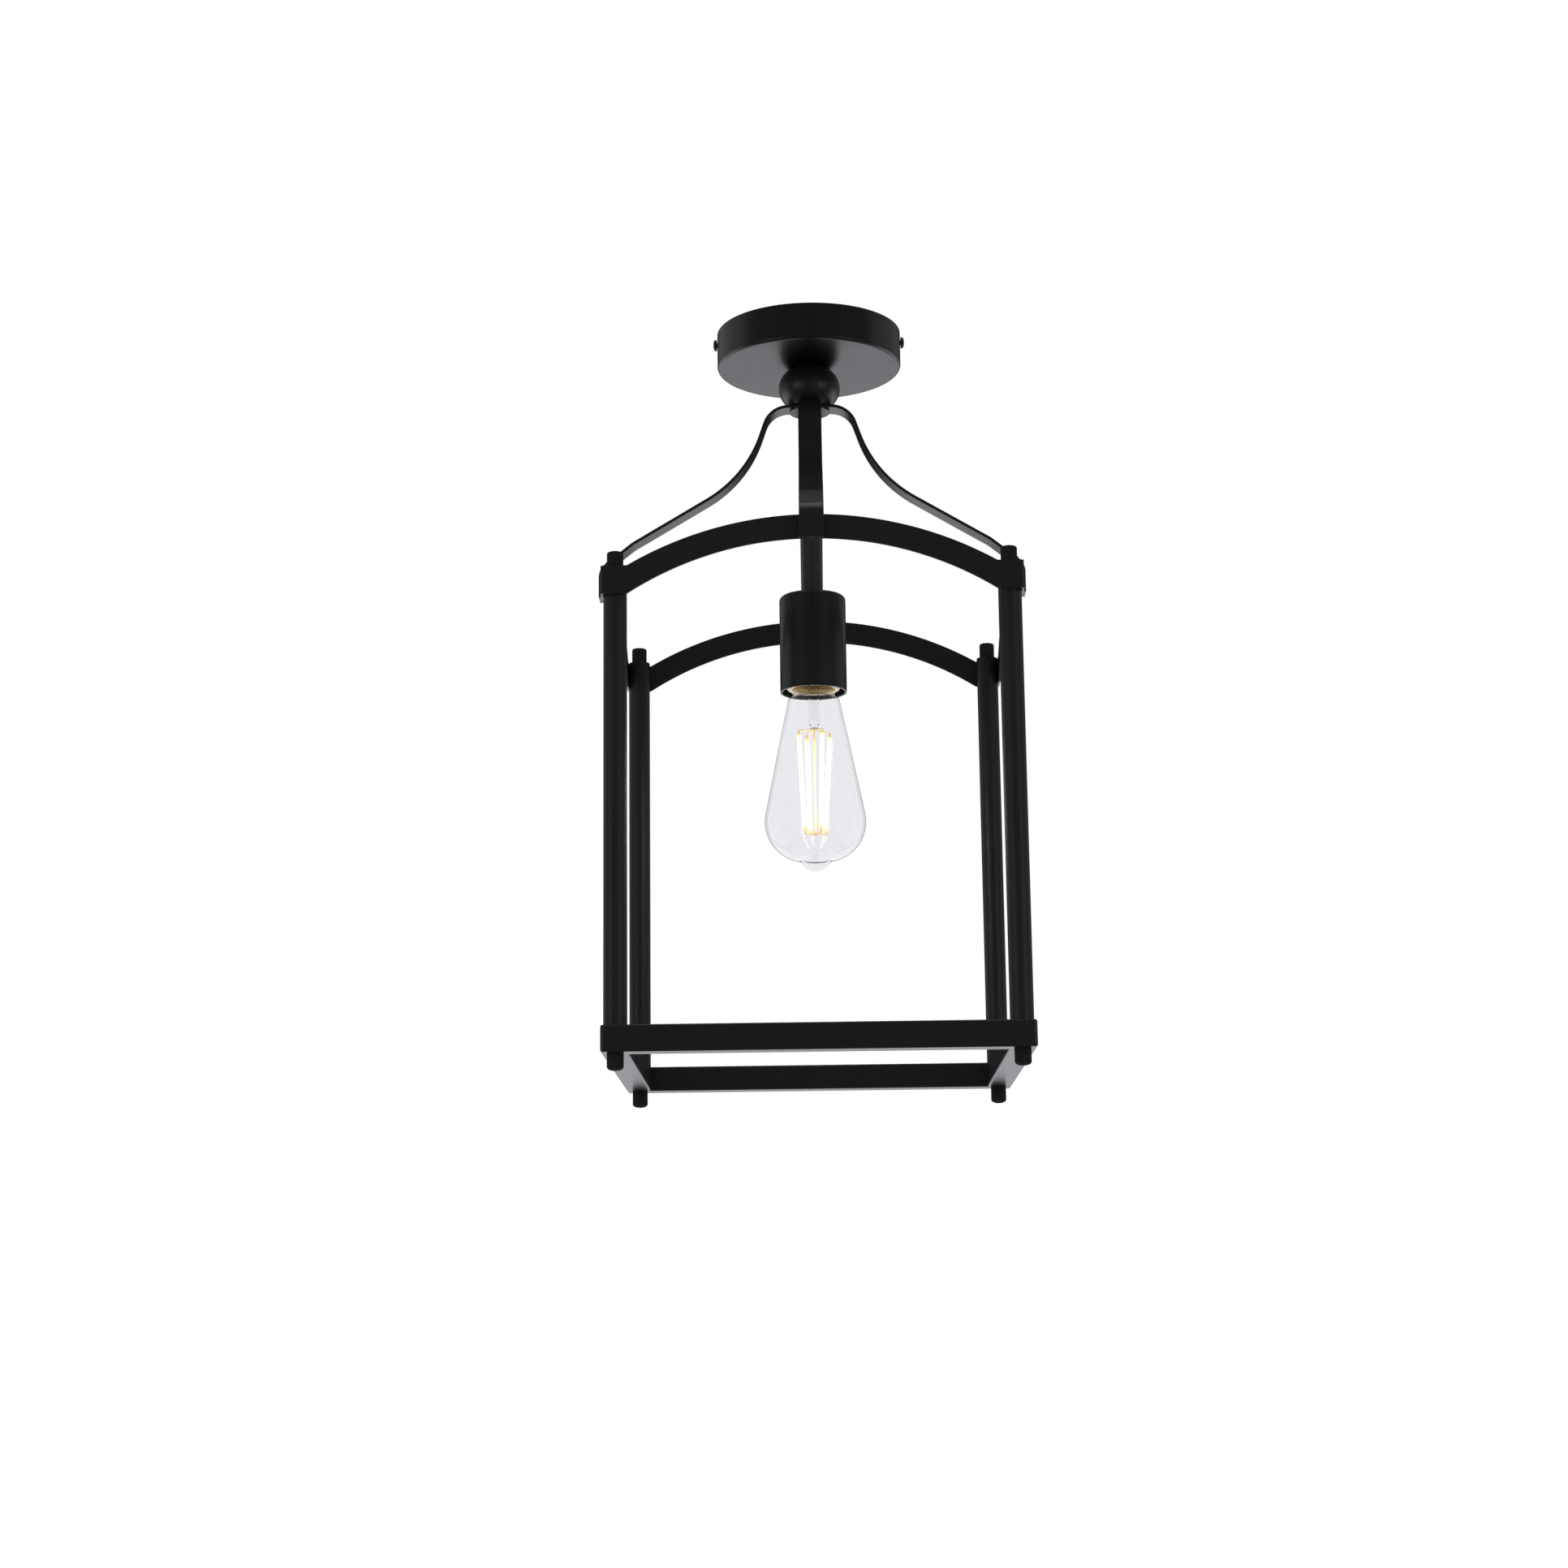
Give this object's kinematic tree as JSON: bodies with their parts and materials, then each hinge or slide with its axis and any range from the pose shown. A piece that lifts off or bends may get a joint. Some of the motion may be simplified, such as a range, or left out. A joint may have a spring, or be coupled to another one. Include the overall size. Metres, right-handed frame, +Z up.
{
  "type": "lantern ceiling light",
  "caption": "Short-stemmed open square lantern hung from a round canopy by bent flat straps, with arched top bars, round posts and one clear filament bulb in a black socket cup.",
  "frame": {"origin": "Centre of the ceiling face of the crossbar and canopy", "axes": "+Z up to the ceiling, front of the lantern towards -Y, crossbar along X"},
  "size_m": [0.275, 0.275, 0.4947],
  "materials": {
    "black_coat": "satin black powder coat",
    "zinc": "zinc plated",
    "green_screw": "green coated",
    "porcelain": "unglazed cream ceramic",
    "brass": "plain brass",
    "lead_black": "matt insulation",
    "lead_white": "matt insulation",
    "copper": "bare copper",
    "connector": "orange plastic",
    "clear_glass": "clear blown glass",
    "insulator": "black glassy",
    "solder": "tinned",
    "circuit_board": "circuit board",
    "bulb_wire": "bare wire",
    "filament": "lit filament stick"
  },
  "bodies": {
    "fixture": {"arch_back": "black_coat", "arch_front": "black_coat", "arch_left": "black_coat", "arch_right": "black_coat", "bottom_finials": "black_coat", "bottom_rail_back": "black_coat", "bottom_rail_front": "black_coat", "bottom_rail_left": "black_coat", "bottom_rail_right": "black_coat", "bracket_screws": "zinc", "cage_studs": "zinc", "canopy": "black_coat", "canopy_nipple": "zinc", "corner_angle_back_left": "black_coat", "corner_angle_back_right": "black_coat", "corner_angle_front_left": "black_coat", "corner_angle_front_right": "black_coat", "corner_set_screws": "zinc", "cup_locknut": "zinc", "cup_nipple": "zinc", "ground_lead": "copper", "ground_screw": "green_screw", "hub_washer": "black_coat", "lead_black": "lead_black", "lead_white": "lead_white", "mounting_crossbar": "zinc", "neck_ball": "black_coat", "nipple_lock_washer": "zinc", "nipple_locknut": "zinc", "post_back_left": "black_coat", "post_back_right": "black_coat", "post_front_left": "black_coat", "post_front_right": "black_coat", "post_plugs": "zinc", "socket_body": "porcelain", "socket_bracket": "zinc", "socket_contact": "brass", "socket_cup": "black_coat", "socket_shell": "brass", "socket_terminals": "brass", "stem_tube": "black_coat", "strap_arm_back": "black_coat", "strap_arm_front": "black_coat", "strap_arm_left": "black_coat", "strap_arm_right": "black_coat", "strap_screws": "black_coat", "strap_spacers": "black_coat", "top_finials": "black_coat", "wire_connectors": "connector"},
    "bulb_end": {"bulb_tip": "solder"},
    "bulb": {"bulb_cap": "brass", "bulb_insulator": "insulator", "bulb_glass": "clear_glass", "bulb_mount": "clear_glass", "bulb_driver": "circuit_board", "bulb_wires": "bulb_wire", "bulb_filaments": "filament"},
    "left_side_screw": {"canopy_screw_left": "black_coat"},
    "right_side_screw": {"canopy_screw_right": "black_coat"}
  },
  "joints": [
    {"name": "bulb_travel", "type": "slide", "parent": "fixture", "child": "bulb_end", "axis": [0, 0, -1], "range_m": [0, 0.0328]},
    {"name": "bulb_turn", "type": "hinge", "parent": "bulb_end", "child": "bulb", "pos_m": [0, 0, -0.25], "axis": [0, 0, -1], "range_deg": [0, 3240]},
    {"name": "left_screw_turn", "type": "hinge", "parent": "fixture", "child": "left_side_screw", "pos_m": [-0.06, 0, -0.006], "axis": [-1, 0, 0], "continuous": true},
    {"name": "right_screw_turn", "type": "hinge", "parent": "fixture", "child": "right_side_screw", "pos_m": [0.06, 0, -0.006], "axis": [1, 0, 0], "continuous": true}
  ],
  "couplings": [
    {"joint": "bulb_travel", "follows": "bulb_turn", "m_per_rad": 0.00057757}
  ]
}
